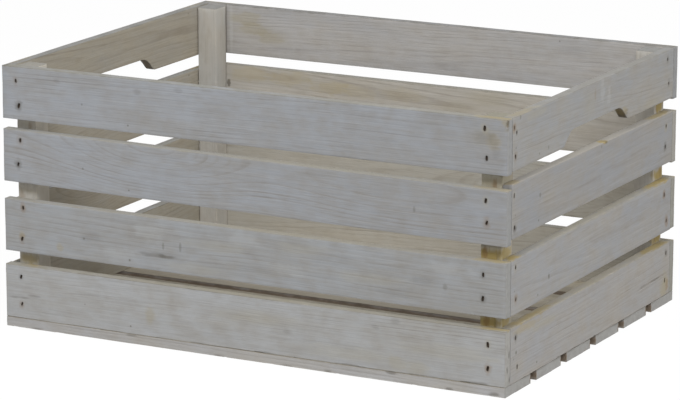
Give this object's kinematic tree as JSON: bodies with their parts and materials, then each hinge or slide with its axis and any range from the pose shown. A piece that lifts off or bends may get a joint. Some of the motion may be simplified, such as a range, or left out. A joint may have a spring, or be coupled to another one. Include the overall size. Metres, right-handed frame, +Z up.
{
  "type": "kindling box",
  "caption": "Open slatted timber box for kindling, with corner posts, spaced side boards, a slatted floor and a sawn hand-hold at each end.",
  "frame": {"origin": "centre of the base, on the surface that the box stands on", "axes": "+Z up, +X along the long sides, +Y from front to back; the hand-holds are in the two ends, at -X and +X"},
  "size_m": [0.6, 0.439, 0.2895],
  "materials": {
    "washed_board": "thin grey-white wash over sawn pine, matt, faint grain",
    "washed_end_board": "thin grey-white wash over sawn pine, matt, faint grain",
    "washed_post": "warmer, thinner wash over square sawn pine, matt",
    "washed_floor": "thin wash over sawn pine with bare yellow ends, matt"
  },
  "bodies": {
    "root": {"front_board_bottom": "washed_board", "front_board_lower": "washed_board", "front_board_upper": "washed_board", "front_board_top": "washed_board", "back_board_bottom": "washed_board", "back_board_lower": "washed_board", "back_board_upper": "washed_board", "back_board_top": "washed_board", "left_board_bottom": "washed_end_board", "left_board_lower": "washed_end_board", "left_board_upper": "washed_end_board", "left_handle_board": "washed_end_board", "right_board_bottom": "washed_end_board", "right_board_lower": "washed_end_board", "right_board_upper": "washed_end_board", "right_handle_board": "washed_end_board", "post_front_left": "washed_post", "post_back_left": "washed_post", "post_front_right": "washed_post", "post_back_right": "washed_post", "floor_board_1": "washed_floor", "floor_board_2": "washed_floor", "floor_board_3": "washed_floor", "floor_board_4": "washed_floor", "floor_board_5": "washed_floor", "floor_board_6": "washed_floor"}
  },
  "joints": []
}
